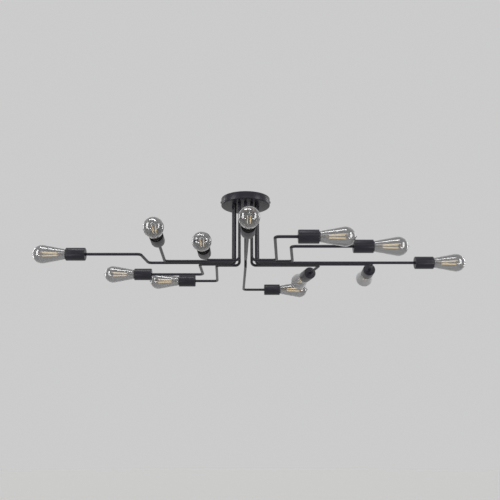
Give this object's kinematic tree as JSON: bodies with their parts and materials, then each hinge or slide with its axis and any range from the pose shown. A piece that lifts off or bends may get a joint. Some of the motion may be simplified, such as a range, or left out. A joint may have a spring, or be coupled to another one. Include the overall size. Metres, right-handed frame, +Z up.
{
  "type": "ceiling light",
  "caption": "Black ceiling light with bent tube arms spreading level from a round canopy, each ending in a socket cup with a clear filament bulb that unscrews.",
  "frame": {"origin": "ceiling plane at the canopy's centre, midway between the two ceiling slots of the bracket", "axes": "+Z up into the ceiling, +X along the long way of the fixture to the right of the picture, +Y away from the picture's camera"},
  "size_m": [1.5355, 1.0578, 0.275],
  "materials": {
    "black_paint": "satin",
    "zinc_steel": "satin",
    "ivory_plastic": "matte",
    "wire_insulation": "matte",
    "black_plastic": "matte",
    "brass": "satin",
    "clear_glass": "clear",
    "nickel_cap": "satin",
    "solder": "satin"
  },
  "bodies": {
    "fixture": {"canopy": "black_paint", "ceiling_bracket": "zinc_steel", "canopy_screws": "black_paint", "wiring_hub": "ivory_plastic", "lead_wires": "wire_insulation", "arm_01_tube": "black_paint", "arm_02_tube": "black_paint", "arm_03_tube": "black_paint", "arm_04_tube": "black_paint", "arm_05_tube": "black_paint", "arm_06_tube": "black_paint", "arm_07_tube": "black_paint", "arm_08_tube": "black_paint", "arm_09_tube": "black_paint", "arm_10_tube": "black_paint", "arm_11_tube": "black_paint", "arm_12_tube": "black_paint", "tube_nuts": "zinc_steel", "socket_cups": "black_paint", "lamp_holders": "black_plastic", "holder_shells": "brass", "holder_tongues": "brass"},
    "bulb_01_travel": {"bulb_01_contact": "solder"},
    "bulb_01": {"bulb_01_base": "nickel_cap", "bulb_01_glass": "clear_glass"},
    "bulb_02_travel": {"bulb_02_contact": "solder"},
    "bulb_02": {"bulb_02_base": "nickel_cap", "bulb_02_glass": "clear_glass"},
    "bulb_03_travel": {"bulb_03_contact": "solder"},
    "bulb_03": {"bulb_03_base": "nickel_cap", "bulb_03_glass": "clear_glass"},
    "bulb_04_travel": {"bulb_04_contact": "solder"},
    "bulb_04": {"bulb_04_base": "nickel_cap", "bulb_04_glass": "clear_glass"},
    "bulb_05_travel": {"bulb_05_contact": "solder"},
    "bulb_05": {"bulb_05_base": "nickel_cap", "bulb_05_glass": "clear_glass"},
    "bulb_06_travel": {"bulb_06_contact": "solder"},
    "bulb_06": {"bulb_06_base": "nickel_cap", "bulb_06_glass": "clear_glass"},
    "bulb_07_travel": {"bulb_07_contact": "solder"},
    "bulb_07": {"bulb_07_base": "nickel_cap", "bulb_07_glass": "clear_glass"},
    "bulb_08_travel": {"bulb_08_contact": "solder"},
    "bulb_08": {"bulb_08_base": "nickel_cap", "bulb_08_glass": "clear_glass"},
    "bulb_09_travel": {"bulb_09_contact": "solder"},
    "bulb_09": {"bulb_09_base": "nickel_cap", "bulb_09_glass": "clear_glass"},
    "bulb_10_travel": {"bulb_10_contact": "solder"},
    "bulb_10": {"bulb_10_base": "nickel_cap", "bulb_10_glass": "clear_glass"},
    "bulb_11_travel": {"bulb_11_contact": "solder"},
    "bulb_11": {"bulb_11_base": "nickel_cap", "bulb_11_glass": "clear_glass"},
    "bulb_12_travel": {"bulb_12_contact": "solder"},
    "bulb_12": {"bulb_12_base": "nickel_cap", "bulb_12_glass": "clear_glass"}
  },
  "joints": [
    {"name": "bulb_01_out", "type": "slide", "parent": "fixture", "child": "bulb_01_travel", "axis": [-1, 0, 0], "range_m": [0, 0.01819]},
    {"name": "bulb_01_unscrew", "type": "hinge", "parent": "bulb_01_travel", "child": "bulb_01", "pos_m": [-0.59154, -0.11934, -0.243], "axis": [-1, 0, 0], "range_deg": [0, 1800]},
    {"name": "bulb_02_out", "type": "slide", "parent": "fixture", "child": "bulb_02_travel", "axis": [-1, 0, 0], "range_m": [0, 0.01819]},
    {"name": "bulb_02_unscrew", "type": "hinge", "parent": "bulb_02_travel", "child": "bulb_02", "pos_m": [-0.40083, 0.18045, -0.243], "axis": [-1, 0, 0], "range_deg": [0, 1800]},
    {"name": "bulb_03_out", "type": "slide", "parent": "fixture", "child": "bulb_03_travel", "axis": [-1, 0, 0], "range_m": [0, 0.01819]},
    {"name": "bulb_03_unscrew", "type": "hinge", "parent": "bulb_03_travel", "child": "bulb_03", "pos_m": [-0.23875, 0.2949, -0.243], "axis": [-1, 0, 0], "range_deg": [0, 1800]},
    {"name": "bulb_04_out", "type": "slide", "parent": "fixture", "child": "bulb_04_travel", "axis": [0.0244, -0.9997, 0], "range_m": [0, 0.01819]},
    {"name": "bulb_04_unscrew", "type": "hinge", "parent": "bulb_04_travel", "child": "bulb_04", "pos_m": [-0.28271, -0.31941, -0.243], "axis": [0.0244, -0.9997, 0], "range_deg": [0, 1800]},
    {"name": "bulb_05_out", "type": "slide", "parent": "fixture", "child": "bulb_05_travel", "axis": [-0.0105, -0.9999, 0], "range_m": [0, 0.01819]},
    {"name": "bulb_05_unscrew", "type": "hinge", "parent": "bulb_05_travel", "child": "bulb_05", "pos_m": [-0.14184, -0.16696, -0.243], "axis": [-0.0105, -0.9999, 0], "range_deg": [0, 1800]},
    {"name": "bulb_06_out", "type": "slide", "parent": "fixture", "child": "bulb_06_travel", "axis": [0.0175, -0.9998, 0], "range_m": [0, 0.01819]},
    {"name": "bulb_06_unscrew", "type": "hinge", "parent": "bulb_06_travel", "child": "bulb_06", "pos_m": [0.00649, -0.41694, -0.243], "axis": [0.0175, -0.9998, 0], "range_deg": [0, 1800]},
    {"name": "bulb_07_out", "type": "slide", "parent": "fixture", "child": "bulb_07_travel", "axis": [1, 0, 0], "range_m": [0, 0.01819]},
    {"name": "bulb_07_unscrew", "type": "hinge", "parent": "bulb_07_travel", "child": "bulb_07", "pos_m": [0.20253, -0.33236, -0.243], "axis": [1, 0, 0], "range_deg": [0, 1800]},
    {"name": "bulb_08_out", "type": "slide", "parent": "fixture", "child": "bulb_08_travel", "axis": [1, 0, 0], "range_m": [0, 0.01819]},
    {"name": "bulb_08_unscrew", "type": "hinge", "parent": "bulb_08_travel", "child": "bulb_08", "pos_m": [0.39368, -0.21965, -0.243], "axis": [1, 0, 0], "range_deg": [0, 1800]},
    {"name": "bulb_09_out", "type": "slide", "parent": "fixture", "child": "bulb_09_travel", "axis": [1, 0, 0], "range_m": [0, 0.01819]},
    {"name": "bulb_09_unscrew", "type": "hinge", "parent": "bulb_09_travel", "child": "bulb_09", "pos_m": [0.65, 0, -0.243], "axis": [1, 0, 0], "range_deg": [0, 1800]},
    {"name": "bulb_10_out", "type": "slide", "parent": "fixture", "child": "bulb_10_travel", "axis": [0.0384, 0.9993, 0], "range_m": [0, 0.01819]},
    {"name": "bulb_10_unscrew", "type": "hinge", "parent": "bulb_10_travel", "child": "bulb_10", "pos_m": [0.46742, 0.13841, -0.243], "axis": [0.0384, 0.9993, 0], "range_deg": [0, 1800]},
    {"name": "bulb_11_out", "type": "slide", "parent": "fixture", "child": "bulb_11_travel", "axis": [-0.2045, 0.9789, 0], "range_m": [0, 0.01819]},
    {"name": "bulb_11_unscrew", "type": "hinge", "parent": "bulb_11_travel", "child": "bulb_11", "pos_m": [0.2406, 0.19167, -0.243], "axis": [-0.2045, 0.9789, 0], "range_deg": [0, 1800]},
    {"name": "bulb_12_out", "type": "slide", "parent": "fixture", "child": "bulb_12_travel", "axis": [1, 0, 0], "range_m": [0, 0.01819]},
    {"name": "bulb_12_unscrew", "type": "hinge", "parent": "bulb_12_travel", "child": "bulb_12", "pos_m": [0.11872, 0.46194, -0.243], "axis": [1, 0, 0], "range_deg": [0, 1800]}
  ],
  "couplings": [
    {"joint": "bulb_01_out", "follows": "bulb_01_unscrew", "m_per_rad": 0.00057757},
    {"joint": "bulb_02_out", "follows": "bulb_02_unscrew", "m_per_rad": 0.00057757},
    {"joint": "bulb_03_out", "follows": "bulb_03_unscrew", "m_per_rad": 0.00057757},
    {"joint": "bulb_04_out", "follows": "bulb_04_unscrew", "m_per_rad": 0.00057757},
    {"joint": "bulb_05_out", "follows": "bulb_05_unscrew", "m_per_rad": 0.00057757},
    {"joint": "bulb_06_out", "follows": "bulb_06_unscrew", "m_per_rad": 0.00057757},
    {"joint": "bulb_07_out", "follows": "bulb_07_unscrew", "m_per_rad": 0.00057757},
    {"joint": "bulb_08_out", "follows": "bulb_08_unscrew", "m_per_rad": 0.00057757},
    {"joint": "bulb_09_out", "follows": "bulb_09_unscrew", "m_per_rad": 0.00057757},
    {"joint": "bulb_10_out", "follows": "bulb_10_unscrew", "m_per_rad": 0.00057757},
    {"joint": "bulb_11_out", "follows": "bulb_11_unscrew", "m_per_rad": 0.00057757},
    {"joint": "bulb_12_out", "follows": "bulb_12_unscrew", "m_per_rad": 0.00057757}
  ]
}
